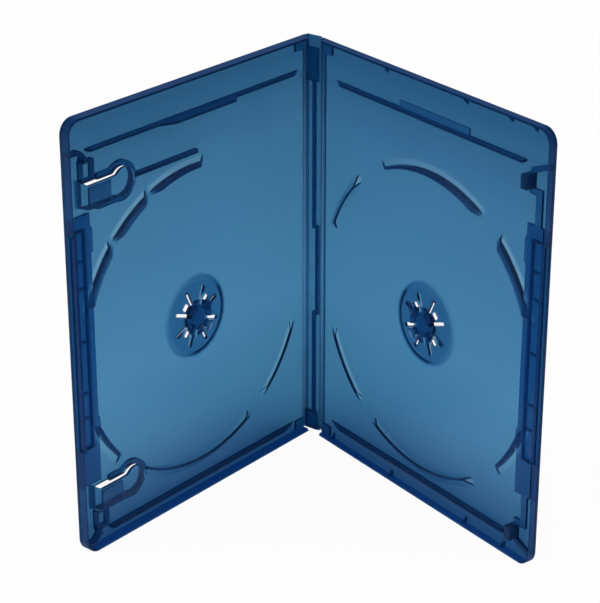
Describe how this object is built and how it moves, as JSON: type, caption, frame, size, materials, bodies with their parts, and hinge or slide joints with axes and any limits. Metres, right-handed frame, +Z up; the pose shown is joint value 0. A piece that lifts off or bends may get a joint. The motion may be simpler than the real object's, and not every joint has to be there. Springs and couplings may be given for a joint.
{
  "type": "video disc case",
  "caption": "Translucent moulded case for two video discs that opens like a book on living hinges, with disc hubs, booklet clips, corner latches and a clear film sleeve.",
  "frame": {"origin": "middle of the open case's box, on the surface that it stands on", "axes": "+Z up along the hinges, +X along the back cover from its hinge to its opening edge, -Y towards the inside of the back cover"},
  "size_m": [0.1424, 0.133, 0.1715],
  "materials": {
    "blue_plastic": "glossy translucent moulded polypropylene",
    "clear_film": "clear glossy polypropylene film"
  },
  "bodies": {
    "back_half": {"back_cover": "blue_plastic", "sleeve_back": "clear_film"},
    "spine_strip": {"spine": "blue_plastic", "sleeve_spine": "clear_film"},
    "front_half": {"front_cover": "blue_plastic", "sleeve_front": "clear_film"}
  },
  "joints": [
    {"name": "back_hinge", "type": "hinge", "parent": "back_half", "child": "spine_strip", "pos_m": [-0.06317, 0.0657, 0], "axis": [0, 0, 1], "range_deg": [-16.9, 73.1]},
    {"name": "front_hinge", "type": "hinge", "parent": "spine_strip", "child": "front_half", "pos_m": [-0.07083, 0.06338, 0], "axis": [0, 0, 1], "range_deg": [-88, 2]}
  ]
}
